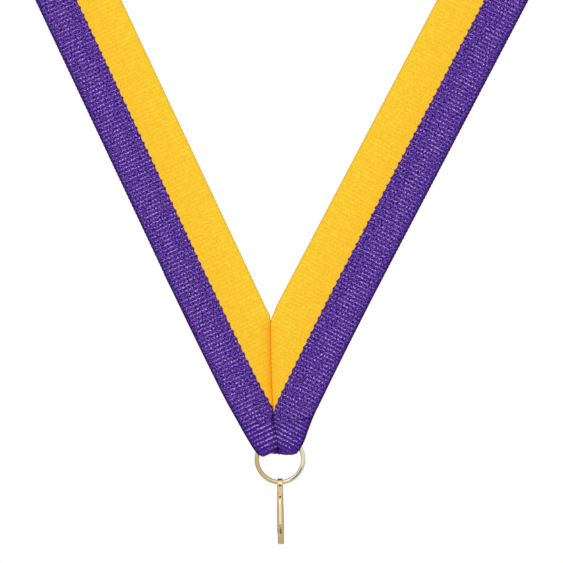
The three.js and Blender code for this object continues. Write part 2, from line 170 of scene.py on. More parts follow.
# Threads
THREAD_DIAMETER = 0.36 * MM
THREAD_TWIST = 0.9 * MM
THREAD_LOBE = 0.16
SEAM_STITCH = 2.6 * MM
SEAM_THREAD_WAVE = 0.25 * MM
SEAM_THREAD_TOP = 1.35 * MM
TACK_STITCH = 1.8 * MM
TACK_HOLES = 6
TACK_START = 1.5
TACK_LEAD = 0.12 * TACK_STITCH
TAIL_HEIGHT = 3.6 * MM

# Clip
CLIP_STRIP = 0.45 * MM
EYE_CLEARANCE = 0.3 * MM
EYE_HEIGHT = 0.87 * MM
EYE_SINK = 0.7 * MM
FRONT_LEG = 4.7 * MM
NECK_LENGTH = 1.6 * MM
FLARE_HEIGHT = 4.2 * MM
HOOK_RADIUS = 3 * MM
HOOK_HEIGHT = 13.9 * MM
NOSE_DROP = 0.3 * MM
EYE_TOP_WIDTH = 1.34 * MM
EYE_WIDTH = 1.65 * MM
WAIST_WIDTH = 1.93 * MM
NOSE_WIDTH = 1.68 * MM
# The next three are shares of the hook's height, downwards from the eye.
EYE_WIDENS = (-0.07, 0.12)
WAIST_WIDENS = (0.3, 0.35)
NOSE_NARROWS = (0.97, 0.1)
CLIP_CROWN = 0.05 * MM
CLIP_ROUNDING = 0.1 * MM
CLIP_END_SHARE = 0.93
NOSE_SHIFT = 0.05 * MM
CLIP_LEAN = 0.013
PUNCH_DROP = 0.95 * MM
PUNCH_RADIUS = 0.28 * MM
PUNCH_DEPTH = 0.08 * MM

# Rivet and gate
RIVET_DROP = 3.9 * MM
RIVET_HEAD = 0.9 * MM
RIVET_HEAD_THICKNESS = 0.12 * MM
RIVET_SHANK = 0.6 * MM
RIVET_BORE = 0.46 * MM
RIVET_BORE_FLOOR = 0.03 * MM
GATE_STRIP = 0.35 * MM
GATE_WIDTH = 1.3 * MM
GATE_CROWN = 0.09 * MM
GATE_CROWN_TOP = (RIVET_DROP + RIVET_HEAD / 2, 1.5 * MM)
GATE_CROWN_FOOT = (0, 0.8 * MM)
GATE_LEAST_TIP = 0.12
GATE_ROOT_ABOVE = 1 * MM
GATE_BEND = 1.1 * MM
GATE_BEND_REACH = 0.5 * MM
GATE_OVERLAP = 0.35 * MM
CLIP_CLEARANCE = 0.15 * MM
SLOT_WIDTH = 0.62 * MM
SLOT_LENGTH = 2.85 * MM
SLOT_RISE = 0.3 * MM

# Painted shade and painted reflections on the plate, dark or pale. Round the ring: a start, an end and a
# fade, in shares of a turn from the top.
RIM_DARKENING = 0.4
RING_PALE_REFLECTION = (0.46, 1.02, 0.2)
RING_DARK_REFLECTION = (0.55, 0.72, 0.05)
DARK_REFLECTION_TURN = math.pi
DARK_REFLECTION_WIDTH = 0.3
EYE_SHADE = 0.6
EYE_SHADE_RISE = (0.1 * MM, 0.35 * MM)
NOSE_SHADE = 0.14
NOSE_SHADE_RISE = (13.7 * MM, 1 * MM)
HOOK_SHADE = 0.9
HOOK_SHADE_DROP = 0.3 * MM
HOOK_SHADE_HEIGHT = 1.7 * MM
HOOK_SHADE_WIDTH = 0.4 * MM
HOOK_SHADE_DEPTH = (1.5 * MM, 1.5 * MM)
CLIP_RIM = (0.5, 0.5)
LEAF_RIM_SHADE = 0.6
LEAF_RIM = (0.6, 0.4)

# Fineness of the meshes
ROWS_PER_RIB = 2
TIP_ROWS_PER_RIB = 6
FRONT_COLUMNS = 16
ROLL_COLUMNS = 4
HEM_COLUMNS = 2
EDGE_CROWDING = 1.3
FINE_ROWS_ABOVE = 14 * MM
SEAM_STEPS = 6
SECTION_SIDES = 32
RING_STEPS = 220
CORNER_POINTS = 4
FACE_POINTS = 7
GATE_COLUMNS = 8
MERGED_WITHIN = 0.0001 * MM

# Camera and room
PICTURE_PIXELS = 563
PIXEL = 0.2754 * MM
RING_PIXEL = (280.0, 459.0)
CAMERA_DISTANCE = 1.6
SENSOR_WIDTH = 36.0
FLOOR_DROP = 0.25
FLOOR_SIZE = 6.0
FLOOR_COLOUR = (0.92, 0.92, 0.92, 1)
WHITE = (1, 1, 1, 1)
ROOM_LIGHT = 0.765
LIT_ABOVE_RING = 0.05
# Each softbox has a name, a place, the length of a side and a brightness.
SOFTBOXES = (("key", (-0.4, -1.1, 0.9), 1.9, 0.6), ("front", (-0.2, -1.9, 0.27), 0.6, 1.0))

# Places that follow from the frame
joint_place = {joint["name"]: np.array(joint["pos_m"]) for joint in frame["joints"]}
ring_centre = joint_place["ring_turn"]
eye_centre = joint_place["clip_swing"]
half_cloth = CLOTH_THICKNESS / 2
wire_radius = RING_WIRE / 2
front_y = ring_centre[1] - wire_radius - CLOTH_CLEARANCE - half_cloth
lower_z = ring_centre[2] + RING_DROP
tack_z = lower_z + TACK_HEIGHT
crotch = np.array([ring_centre[0] - RING_SHIFT, front_y, lower_z + SEAM_HEIGHT])
crest_y = front_y + CREST_RADIUS
crest_z = crotch[2] + CREST_HEIGHT
fold_radius = ring_centre[1] - front_y + TIP_BULGE
hem_back = front_y + half_cloth + CLOTH_CLEARANCE + CLOTH_THICKNESS
tail_back = hem_back + CLOTH_CLEARANCE + CLOTH_THICKNESS
fold_gap = SEAM_GAP / 2 + half_cloth + ROLL_BULGE
seam_foot_x = crotch[0] + SEAM_HEIGHT * math.tan(SEAM_LEAN)
leg_front = -(wire_radius + EYE_CLEARANCE + CLIP_STRIP)
section_turn = np.arange(SECTION_SIDES) * FULL_TURN / SECTION_SIDES


def smooth(share):
    """Ease from 0 to 1 with level ends: three squares less two cubes of the share."""
    share = np.clip(share, 0, 1)
    return share * share * (3 - 2 * share)


def rise(value, start, run):
    """Ease from 0 at the start to 1 one run further on."""
    return smooth((value - start) / run)


def stretch(value, start, end, fade):
    """Up from 0 at start to 1 and down to 0 again at end, eased over a fade at either end."""
    return rise(value, start, fade) * rise(-value, -end, fade)


def from_left(pair, share):
    """A value that goes from the left one of a pair to the right one as the share goes to 1."""
    return pair[-1] + (pair[1] - pair[-1]) * share


def distances(line):
    """Distance along a line of each of its points."""
    return np.concatenate([[0], np.cumsum(np.linalg.norm(np.diff(line, axis=0), axis=1))])


def unit(vectors):
    """Each vector made one long."""
    return vectors / np.linalg.norm(vectors, axis=-1, keepdims=True)


def through(points, count=400):
    """A smooth line through given points: each stretch is a cubic whose end slopes are those of
    the chords between the points on either side."""
    points = np.asarray(points, float)
    before = np.vstack([2 * points[0] - points[1], points[:-1]])
    after = np.vstack([points[1:], 2 * points[-1] - points[-2]])
    slope = (after - before) / 2
    at = np.linspace(0, len(points) - 1, count)
    first = np.minimum(at.astype(int), len(points) - 2)
    t = (at - first)[:, None]
    return ((1 + 2 * t) * (1 - t) ** 2 * points[first] + t * (1 - t) ** 2 * slope[first]
            + t * t * (3 - 2 * t) * points[first + 1] - t * t * (1 - t) * slope[first + 1])


# Meshes


def tube_faces(rows, columns):
    """Four-sided faces of a grid whose columns close on themselves."""
    row = np.arange(rows - 1)[:, None]
    column = np.arange(columns)[None, :]
    beside = (column + 1) % columns
    corners = (row * columns + column, row * columns + beside,
               (row + 1) * columns + beside, (row + 1) * columns + column)
    return np.stack(np.broadcast_arrays(*corners), axis=-1).reshape(-1, 4)


def flat_tube_faces(rows, columns):
    """Faces of a tube whose section runs out and back again, with both of its ends closed."""
    column = np.arange(columns // 2 - 1)
    end = np.stack([column, column + 1, columns - 2 - column, columns - 1 - column], axis=-1)
    return np.vstack([tube_faces(rows, columns), end[:, ::-1], end + (rows - 1) * columns])


def new_object(name, data):
    """A mesh, a lamp or a camera put into the scene."""
    thing = bpy.data.objects.new(name, data)
    bpy.context.scene.collection.objects.link(thing)
    return thing


def make_piece(name, points, faces, material, slot, caps=(), weave=None, marks=(),
               sharp_from=40):
    """A mesh piece from points, four-sided faces and any other faces in caps. Its volume, summed
    over the cones from the origin to its faces, tells whether they point outwards, and they're
    turned round if not. Marks are pairs of a name and a number for each point, which the finish
    reads. Edges from sharp_from degrees on look sharp."""
    points = points.reshape(-1, 3)
    a, b, c, d = (points[faces[:, corner]] for corner in range(4))
    volume = (np.cross(a, b) * c).sum() + (np.cross(a, c) * d).sum()
    for cap in caps:
        ring = points[np.asarray(cap)]
        volume += (np.cross(ring[0], ring[1:-1]) * ring[2:]).sum()
    turned = -1 if volume < 0 else 1
    corners = [*faces[:, ::turned].tolist(), *[list(cap)[::turned] for cap in caps]]
    mesh = bpy.data.meshes.new(name)
    mesh.from_pydata(points.tolist(), [], corners)
    if weave is not None:
        layer = mesh.uv_layers.new(name="weave")
        loops = np.zeros(len(mesh.loops), np.int32)
        mesh.loops.foreach_get("vertex_index", loops)
        layer.data.foreach_set("uv", weave.reshape(-1, 2)[loops].astype(np.float32).ravel())
    for label, numbers in marks:
        layer = mesh.attributes.new(label, "FLOAT", "POINT")
        layer.data.foreach_set("value", numbers.astype(np.float32).ravel())
    mesh.polygons.foreach_set("use_smooth", [True] * len(mesh.polygons))
    mesh.set_sharp_from_angle(angle=math.radians(sharp_from))
    mesh.materials.append(material)
    mesh.update()
    piece = new_object(name, mesh)
    return piece


def make_tube(name, points, material, slot, **rest):
    """A piece from the points of a tube, section by section, with a face on either end."""
    rows, columns = points.shape[:2]
    caps = [range(columns), range((rows - 1) * columns, rows * columns)]
    return make_piece(name, points, tube_faces(rows, columns), material, slot, caps=caps, **rest)


def out_and_back(there, back):
    """Sections that run out along one face and back along the other."""
    return np.concatenate([there, back[:, ::-1]], axis=1)


def carried_sections(path, sections, side):
    """Points of a profile carried along a path. How far they lie along side, and square to side
    and path, is given once for all sections or for each."""
    along = unit(np.gradient(path, axis=0))
    side = unit(side - along * (side * along).sum(-1, keepdims=True))
    other = np.cross(along, side)
    return path[:, None] + side[:, None] * sections[..., :1] + other[:, None] * sections[..., 1:]


# Ribbon


def strap_frame(side, lean):
    """Directions of a strap: up along it, across it from the purple edge to the gold one, the foot
    of its middle line, level across with the crotch, and its straight run up to the shoulder."""
    along = np.array([side * math.sin(lean), 0, math.cos(lean)])
    across = np.array([-side * math.cos(lean), 0, math.sin(lean)])
    start = crotch - across * RIBBON_WIDTH / 2
    run = (crest_z - start[2]) / along[2] - CREST_RADIUS
    return along, across, start, run


def half_loop(side, lean, count=240):
    """Middle line and across direction of a strap, from its foot to the top of the shoulder:
    straight up, then a quarter circle that bends back without turning sideways."""
    along, across, start, run = strap_frame(side, lean)
    up = np.linspace(0, run, count)[:-1, None]
    turn = np.linspace(0, math.pi / 2, count)[:-1, None]
    back = np.array([0, 1, 0])
    line = np.vstack([
        start + along * up,
        start + along * (run + CREST_RADIUS * np.sin(turn)) + back * CREST_RADIUS * (1 - np.cos(turn)),
    ])
    return line, np.broadcast_to(across, line.shape)


def neck_loop(count=720):
    """Middle line and across direction round the back of the neck: half an ellipse that rises with
    the square of the sine, while the band turns up onto its purple edge."""
    reach = (crotch[0] + CREST_HEIGHT * math.tan(RIGHT_LEAN)
             + RIBBON_WIDTH / 2 / math.cos(RIGHT_LEAN))
    share = np.linspace(0, 1, count)
    turn = share * math.pi
    lift = np.sin(turn) ** 2
    lean = LEFT_LEAN + (RIGHT_LEAN - LEFT_LEAN) * share
    tilt = lean + (math.pi / 2 - lean) * lift
    flat = np.zeros(count)
    line = np.stack([-reach * np.cos(turn), crest_y + BAND_DEPTH * np.sin(turn),
                     crest_z + BAND_RISE * lift], axis=-1)
    inward = unit(np.stack([BAND_DEPTH * np.cos(turn), -reach * np.sin(turn), flat], axis=-1))
    across = inward * np.cos(tilt)[:, None] + np.stack([flat, flat, np.sin(tilt)], axis=-1)
    return line, across


def loop_rows():
    """Distance along the ribbon, middle point and across direction of every row of the weave, from
    the left tip over both shoulders to the right tip. Rows lie at equal shares of a rib, closer
    together in the V, and the straps go straight on below the crotch."""
    left, left_across = half_loop(-1, LEFT_LEAN)
    right, right_across = half_loop(1, RIGHT_LEAN)
    neck, neck_across = neck_loop()
    line = np.vstack([left, neck, right[::-1]])
    across = np.vstack([left_across, neck_across, right_across[::-1]])
    length = distances(line)
    first, last = -TIP_RUN, length[-1] + TIP_RUN
    fine, plain = RIB_PITCH / TIP_ROWS_PER_RIB, RIB_PITCH / ROWS_PER_RIB
    inner = np.array([FINE_ROWS_ABOVE, length[-1] - FINE_ROWS_ABOVE])
    inner = np.round(inner / RIB_PITCH) * RIB_PITCH
    rows = np.concatenate([
        np.arange(inner[0], first, -fine)[::-1],
        np.arange(inner[0] + plain, inner[1] - plain / 2, plain),
        np.arange(inner[1], last, fine),
    ])
    middle, square = (np.stack([np.interp(rows, length, axis) for axis in given.T], axis=-1)
                      for given in (line, across))
    for side, lean, beyond in ((-1, LEFT_LEAN, np.minimum(rows, 0)),
                               (1, RIGHT_LEAN, np.minimum(length[-1] - rows, 0))):
        middle += beyond[:, None] * strap_frame(side, lean)[0]
    return rows, length[-1], middle, unit(square)


def outline_x(points, z):
    """The x of a given outline at a height. Past its ends the outline goes on upright."""
    line = through(points)[::-1] * MM
    return np.interp(z - ring_centre[2], line[:, 1], line[:, 0]) + ring_centre[0]


def seam_x(z):
    """The x of the seam at a height."""
    return outline_x(SEAM_LINE, z)


def fold_height(x):
    """Height at which the cloth starts to fold round the ring."""
    line = through(FOLD_LINE) * MM
    return np.interp(x - ring_centre[0], line[:, 0], line[:, 1]) + ring_centre[2]


def row_columns(edge, across, side):
    """How far each column lies from the purple edge along its row. A row that reaches the seam has
    its last columns on the roll there and on the hem behind it, as wide as the hem is left."""
    steepness = across[:, 2]
    level = np.abs(across[:, 0])
    to_fold = np.full(len(edge), RIBBON_WIDTH)
    for _ in range(SEAM_STEPS):
        seam = seam_x(edge[:, 2] + to_fold * steepness)
        to_fold = (side * (edge[:, 0] - seam) - fold_gap) / level
    seam_z = edge[:, 2] + to_fold * steepness
    left_over = np.interp(seam_z, [lower_z, lower_z + HEM_TAPER],
                          [HEM_IN_SLEEVE, math.pi * ROLL_RADIUS + HEM_WIDTH])
    front = np.minimum(to_fold, RIBBON_WIDTH - ROLL_RUN - HEM_EDGE)
    end = np.minimum(RIBBON_WIDTH, np.maximum(to_fold, front) + left_over)
    roll = np.minimum(front + ROLL_RUN, end - HEM_EDGE)
    front_share = np.linspace(0, 1, FRONT_COLUMNS + 1) ** EDGE_CROWDING
    roll_share = np.linspace(0, 1, ROLL_COLUMNS + 1)[1:]
    hem_share = np.linspace(0, 1, HEM_COLUMNS + 1)[1:]
    return np.hstack([front[:, None] * front_share,
                      front[:, None] + (roll - front)[:, None] * roll_share,
                      roll[:, None] + (end - roll)[:, None] * hem_share])


def turn_under(points, side):
    """The roll at the seam: cloth that goes past the fold line winds round a small flat oval and
    lies behind the strap. Returns how deep each point lies behind the front, the new x and the
    distance from the seam."""
    x, z = points[..., 0], points[..., 2]
    seam = seam_x(z)
    inside = side * (x - seam)
    past = fold_gap - inside
    turn = np.clip(past / ROLL_RADIUS, 0, math.pi)
    behind = np.maximum(past - math.pi * ROLL_RADIUS, 0)
    rolled = np.where(past > 0, fold_gap - ROLL_BULGE * np.sin(turn) + behind, inside)
    return ROLL_RADIUS * (1 - np.cos(turn)), seam + side * rolled, rolled


def crease_height(x, side):
    """Height of the crease that the tack pulls into the front of the tip."""
    return tack_z - TACK_CREASE_DROP + TACK_CREASE_SLOPE[side] * (x - seam_x(tack_z))


def seam_shade(z, beside, side):
    """How strong the painted shade by the seam is, 0 to 1: above the gold's end it fades off from the
    seam, and below lies a narrow valley of painted shade, deepest at the tack."""
    above = rise(z - tack_z, *GOLD_ABOVE_TACK)
    tint = SEAM_PAINTED_SHADE[side] * np.exp(-beside / SEAM_PAINTED_SHADE_RUN[side])
    tint *= rise(crotch[2] - z, *SEAM_PAINTED_SHADE_TOP)
    at_tack = np.exp(-((z - tack_z) / VALLEY_HEIGHT) ** 2)
    depth = VALLEY_LEAST + (1 - VALLEY_LEAST) * at_tack
    return above * tint + (1 - above) * depth * np.exp(-(beside / VALLEY_WIDTH[side]) ** 2)


def crease_mark(above, beside, side):
    """Distance above the tack's crease in widths of the crease, which tapers towards the seam on
    the right and towards the purple edge on the left. The cloth's finish paints shade along the
    crease from it."""
    if side > 0:
        rising = rise(beside, *CREASE_RIGHT)
    else:
        rising = CREASE_LEFT_SHARE * rise(-beside, *CREASE_LEFT)
    return np.clip(above / (TACK_CREASE_WIDTH * (CREASE_LEAST + rising)), -CREASE_FAR, CREASE_FAR)


def turn_up(points, side):
    """The tip's way round the ring. The cloth dips to the seam and to the tack, bulges over the
    ring's wire, winds round a level cylinder below it, and leans forward to the hems behind. A
    notch draws the two lobes back where they meet. Returns the points, how strained the cloth is
    (1 over the ring, 2 round the cylinder), how much painted shade it gets in the hollows by the
    seam and in the notch, and its place by the crease."""
    depth, x, beside = turn_under(points, side)
    z = points[..., 2]
    above_tack = rise(z - tack_z, *SEAM_DIP_FOOT) * rise(crotch[2] - z, *SEAM_DIP_TOP)
    dip = SEAM_DIP[side] * np.exp(-(beside / SEAM_DIP_WIDTH[side]) ** 2) * above_tack
    pull = np.exp(-((z - tack_z - TACK_PULL_HEIGHT / 2) / TACK_PULL_HEIGHT) ** 2)
    dip += TACK_PULL[side] * pull * np.exp(-(beside / TACK_PULL_WIDTH) ** 2)
    above_crease = z - crease_height(x, side)
    dent = TACK_DENT[side] * np.exp(-np.abs(above_crease) / TACK_DENT_WIDTH)
    bulge = TIP_BULGE * smooth((tack_z - z) / TIP_BULGE_RUN)
    notch_top = ring_centre[2] + NOTCH_HEIGHT
    notch = np.exp(-(beside / NOTCH_WIDTH) ** 2) * smooth((notch_top - z) / NOTCH_FADE)
    y = front_y + depth + dip + dent - bulge
    fold_z = fold_height(x)
    past = fold_z - z
    inward = y - (ring_centre[1] - fold_radius)
    turn = np.clip(past / fold_radius, 0, math.pi)
    facing = np.maximum(np.cos(turn), 0)
    radius = fold_radius - inward
    up_behind = np.maximum(past - math.pi * fold_radius, 0)
    lean = TAIL_PULL * rise(up_behind, *TAIL_PULL_RISE)
    folded_y = ring_centre[1] - radius * np.cos(turn) - lean + NOTCH_DEPTH * notch * facing
    folded_z = fold_z - radius * np.sin(turn) + up_behind
    strain = rise(tack_z - z, *STRAINED) + rise(past, *ROUNDED)
    # Painted shade by the seam and in the notch, on the front of the fold only.
    hollow = np.clip(seam_shade(z, beside, side) + notch, 0, 1) * facing
    turned = np.stack([x, np.where(past > 0, folded_y, y + NOTCH_DEPTH * notch),
                       np.where(past > 0, folded_z, z)], axis=-1)
    return turned, strain, hollow, crease_mark(above_crease, beside, side)


def ribbon_grid():
    """Middle surface of the ribbon with, for each point, the distance along and across the cloth,
    its strain, the painted shade of its hollows and its place by the crease. Each row starts on the
    purple edge, which follows the given outline below GATHER_TOP, while the gold edge stays straight."""
    rows, total, middle, across = loop_rows()
    scallop = SELVEDGE_WAVE * np.cos(FULL_TURN * rows / RIB_PITCH)
    to_right = smooth(rows / total)
    width_share = from_left(STRAP_WIDTH_SHARE, to_right)
    edge = middle - across * (width_share * RIBBON_WIDTH / 2 + scallop)[:, None]
    edge[:, 0] += from_left(STRAP_SHIFT, to_right)
    gather_top = ring_centre[2] + GATHER_TOP
    columns = FRONT_COLUMNS + ROLL_COLUMNS + HEM_COLUMNS + 1
    reach, strain, hollow, crease = np.zeros((4, len(rows), columns))
    crease += CREASE_FAR
    surface = np.zeros((len(rows), columns, 3))
    straight = edge[:, 0].copy()
    for side, shape, half in ((-1, LEFT_EDGE, rows < total / 2), (1, RIGHT_EDGE, rows >= total / 2)):
        drawn = half & (edge[:, 2] < gather_top)
        edge[drawn, 0] = outline_x(shape, edge[drawn, 2])
        near = half & (edge[:, 2] < crotch[2] + ROWS_DRAWN_ABOVE)
        far = half & ~near
        reach[near] = row_columns(edge[near], across[near] * width_share[near, None], side)
        plain = row_columns(crotch + np.array([[side, 0, 1.0]]), across[near][:1], side)
        reach[far] = plain
        moved = (edge[half, 0] - straight[half]) * across[half, 0]
        gold_edge_z = edge[half, 2] + RIBBON_WIDTH * across[half, 2]
        moved *= smooth((gold_edge_z - crotch[2]) / DRAWN_FADE)
        in_gold = smooth(2 * reach[half] / RIBBON_WIDTH - 1)
        spread = reach[half] * width_share[half, None] - moved[:, None] * in_gold
        surface[half] = edge[half, None] + across[half, None] * spread[..., None]
        surface[near], strain[near], hollow[near], crease[near] = turn_up(surface[near], side)
    return rows, reach, surface, strain, hollow, crease


def make_ribbon(cloth):
    """The ribbon in one piece: two faces on either side of the middle surface, half the cloth away
    along its normals. Each rib swells both faces, and the woven edges are thinner."""
    rows, reach, surface, strain, hollow, crease = ribbon_grid()
    out = unit(np.cross(np.gradient(surface, axis=1), np.gradient(surface, axis=0)))
    relief = RIB_RELIEF + (TIP_RIB_RELIEF - RIB_RELIEF) * np.minimum(strain, 1)
    rib = relief * np.cos(FULL_TURN * rows / RIB_PITCH)[:, None]
    from_edge = np.minimum(reach, RIBBON_WIDTH - reach)
    thin = 1 - SELVEDGE_THINNING * np.exp(-(from_edge / SELVEDGE_ROUNDING) ** 2)
    half = ((half_cloth + rib) * thin)[..., None]
    ring = out_and_back(surface + out * half, surface - out * half)
    weave = np.stack([reach, np.broadcast_to(rows[:, None], reach.shape)], axis=-1) / MM
    marks = [(label, out_and_back(numbers, numbers))
             for label, numbers in (("strain", strain), ("hollow", hollow), ("crease", crease))]
    faces = flat_tube_faces(*ring.shape[:2])
    ribbon = make_piece("neck_ribbon", ring, faces, cloth, "ribbon_cloth",
                        weave=out_and_back(weave, weave), marks=marks, sharp_from=75)
    return ribbon, rows[-1] - rows[0]


# Threads


def make_thread(name, path, material):
    """A twisted thread: the radius of its section falls by a share with the cosine of four times
    the turn, and the turn goes on with the distance along the path. The ends are half as thick."""
    lay = section_turn + FULL_TURN * distances(path)[:, None] / THREAD_TWIST
    radius = THREAD_DIAMETER / 2 * (1 - THREAD_LOBE * np.cos(4 * lay))
    radius[[0, -1]] *= 0.5
    sections = np.stack([radius * np.cos(section_turn), radius * np.sin(section_turn)], axis=-1)
    points = carried_sections(path, sections, np.array([0.1, 0.2, 1.0]))
    return make_tube(name, points, material, "sewing_thread")


def make_seam_thread(material):
    """Zigzag stitches along the slit between the two hems: a smooth line through points on either
    side of the seam, half a stitch apart."""
    top = crotch[2] - SEAM_THREAD_TOP
    foot = lower_z + TAIL_HEIGHT + CLOTH_CLEARANCE + THREAD_DIAMETER
    stitches = round((top - foot) / SEAM_STITCH)
    at = np.arange(2 * stitches + 1)
    z = top + (foot - top) * at / (2 * stitches)
    x = crotch[0] + (crotch[2] - z) * math.tan(SEAM_LEAN) + np.where(at % 2, 1, -1) * SEAM_THREAD_WAVE
    y = np.full(len(z), hem_back + CLOTH_CLEARANCE + THREAD_DIAMETER / 2)
    path = through(np.stack([x, y, z], axis=-1), count=24 * stitches)
    return make_thread("seam_stitches", path, material)


def make_tack_thread(material):
    """Running stitch through all the layers: out to the front at one needle hole, in at the next."""
    front = front_y + THREAD_DIAMETER / 4
    back = tail_back + THREAD_DIAMETER / 2
    points = []
    for hole in range(TACK_HOLES):
        x = seam_foot_x + (hole - TACK_START) * TACK_STITCH
        z = crease_height(x, -1 if x < seam_foot_x else 1)
        inner, outer = (front, back) if hole % 2 else (back, front)
        points += [(x - TACK_LEAD, inner, z), (x, (inner + outer) / 2, z), (x + TACK_LEAD, outer, z)]
    path = through(points, count=60 * TACK_HOLES)
    return make_thread("tack_stitches", path, material)


# Ring and clip


def make_ring(metal):
    """A ring of round wire, cut at the top: a circle carried round a circle. Its plate has a painted
    pale reflection on the right, a painted dark reflection along a line at the lower right, and painted
    dark reflections along the rims."""
    radius = (RING_DIAMETER - RING_WIRE) / 2
    cut = RING_JOINT / 2 / radius
    clock = np.linspace(cut, FULL_TURN - cut, RING_STEPS)
    turn = math.pi / 2 + clock
    path = ring_centre + radius * np.stack([np.cos(turn), 0 * turn, np.sin(turn)], axis=-1)
    circle = wire_radius * np.stack([np.cos(section_turn), np.sin(section_turn)], axis=-1)
    points = carried_sections(path, circle, np.array([0.0, 1.0, 0.0]))
    clock = clock[:, None] / FULL_TURN
    # Painted dark reflections along a line at the lower right and along the rims, and a painted pale
    # reflection on the right.
    beside = np.angle(np.exp(1j * (section_turn - DARK_REFLECTION_TURN)))
    dark_reflection = stretch(clock, *RING_DARK_REFLECTION) * np.exp(-((beside / DARK_REFLECTION_WIDTH) ** 2))
    rim = RIM_DARKENING * np.sin(section_turn) ** 4
    pale = stretch(clock, *RING_PALE_REFLECTION) * np.ones_like(dark_reflection)
    return make_tube("split_ring", points, metal, "ring_metal",
                     marks=[("dull", np.maximum(dark_reflection, rim)), ("pale", pale)])


def strip_sections(width):
    """Sections of the clip's strip: a rectangle whose corners are quarter circles, and whose outer
    side is domed by the square of the distance from the middle."""
    count = len(width)
    corner = np.linspace(0, math.pi / 2, CORNER_POINTS)
    across = np.linspace(-1, 1, FACE_POINTS + 2)[1:-1]
    flat_x = (width / 2 - CLIP_ROUNDING)[:, None]
    half = CLIP_STRIP / 2
    flat_y = half - CLIP_ROUNDING
    quarters = []
    for start, (x_sign, y_sign) in enumerate(((1, 1), (-1, 1), (-1, -1), (1, -1))):
        turn = corner + start * math.pi / 2
        y = y_sign * flat_y + CLIP_ROUNDING * np.sin(turn)
        quarters.append(np.stack([x_sign * flat_x + CLIP_ROUNDING * np.cos(turn),
                                  np.broadcast_to(y, (count, CORNER_POINTS))], axis=-1))
    top = np.stack([-flat_x * across, np.full((count, FACE_POINTS), half)], axis=-1)
    section = np.concatenate([quarters[0], top, quarters[1], quarters[2], -top, quarters[3]], axis=1)
    share = section[..., 0] / (width / 2)[:, None]
    section[..., 1] += CLIP_CROWN * (1 - share**2)
    return section


def clip_line():
    """Middle line of the clip's strip, in the plane of its sides: up the front leg, round the
    ring's wire, down the flared back, round the hook and up to the nose. Places along +Y and +Z
    from the middle of the wire."""
    eye = wire_radius + EYE_CLEARANCE + CLIP_STRIP / 2
    over = np.linspace(math.pi, 0, 48)[:, None]
    sink = np.where(over > math.pi / 2, EYE_SINK, 0)
    around = np.linspace(0, math.asin(NOSE_DROP / HOOK_RADIUS) - math.pi, 64)[:, None]
    drop = np.linspace(0, 1, 40)[1:-1, None]
    flare_foot = -NECK_LENGTH - FLARE_HEIGHT
    pieces = [
        np.linspace((-eye, -FRONT_LEG), (-eye, -EYE_SINK), 30)[:-1],
        np.hstack([eye * np.cos(over), -sink + (EYE_HEIGHT + sink) * np.sin(over)]),
        np.linspace((eye, 0), (eye, -NECK_LENGTH), 8)[1:],
        np.hstack([eye + (HOOK_RADIUS - eye) * smooth(drop), -NECK_LENGTH - FLARE_HEIGHT * drop]),
        np.linspace((HOOK_RADIUS, flare_foot), (HOOK_RADIUS, -HOOK_HEIGHT), 30)[:-1],
        np.hstack([HOOK_RADIUS * np.cos(around), HOOK_RADIUS * np.sin(around) - HOOK_HEIGHT]),
    ]
    return np.vstack(pieces)


def hang_askew(points):
    """The clip hangs a little askew: each point moves sideways by a share of its drop."""
    points = points.copy()
    points[..., 0] += CLIP_LEAN * (eye_centre[2] - points[..., 2])
    return points


def make_clip_body(metal):
    """The clip's strip: rounded sections carried along its bent middle line. Its width grows from
    the eye to the waist and falls again to the nose. A punch mark dents the front below the eye.
    Painted shade darkens the strip at its rims, on top of the eye, by the nose, in the punch mark
    and inside the hook."""
    line = clip_line()
    path = eye_centre + np.column_stack([np.zeros(len(line)), line])
    drop = -line[:, 1] / HOOK_HEIGHT
    width = EYE_TOP_WIDTH + (EYE_WIDTH - EYE_TOP_WIDTH) * rise(drop, *EYE_WIDENS)
    width += (WAIST_WIDTH - EYE_WIDTH) * rise(drop, *WAIST_WIDENS)
    at_nose = np.where((line[:, 0] < 0) & (drop > 0.5), 1, rise(drop, *NOSE_NARROWS))
    width += (NOSE_WIDTH - width) * at_nose
    path[:, 0] += NOSE_SHIFT * at_nose
    sections = strip_sections(width)
    sections[[0, -1]] *= CLIP_END_SHARE
    points = carried_sections(path, sections, np.array([1.0, 0.0, 0.0]))
    beside, depth, height = np.moveaxis(points - eye_centre, -1, 0)
    on_front = (depth < -EYE_CLEARANCE) & (height > -FRONT_LEG)
    from_mark = np.hypot(beside, height + PUNCH_DROP) / PUNCH_RADIUS
    punch = np.where(on_front, np.exp(-from_mark**2), 0)
    points[..., 1] += PUNCH_DEPTH * punch
    above_hook = height + HOOK_HEIGHT
    inside = np.hypot(depth, above_hook) < HOOK_RADIUS
    # Painted shade inside the hook, where it is seen behind the gate's slot.
    shade_in_hook = HOOK_SHADE * inside * rise(depth, *HOOK_SHADE_DEPTH)
    shade_in_hook *= np.exp(-((above_hook + HOOK_SHADE_DROP) / HOOK_SHADE_HEIGHT) ** 2 - (beside / HOOK_SHADE_WIDTH) ** 4)
    rim = RIM_DARKENING * rise(np.abs(sections[..., 0]) / (width[:, None] / 2), *CLIP_RIM)
    at_eye = EYE_SHADE * rise(height, *EYE_SHADE_RISE)
    by_nose = NOSE_SHADE * rise(-height, *NOSE_SHADE_RISE)
    in_front = (depth < 0) * np.maximum(at_eye, by_nose)
    # Painted shade in the punch mark, inside the hook, at the rims, on top of the eye and by the nose.
    dull = np.maximum.reduce([np.minimum(1.5 * punch, 1), shade_in_hook, rim, in_front])
    return make_tube("clip_hook", hang_askew(points), metal, "clip_metal", marks=[("dull", dull)])


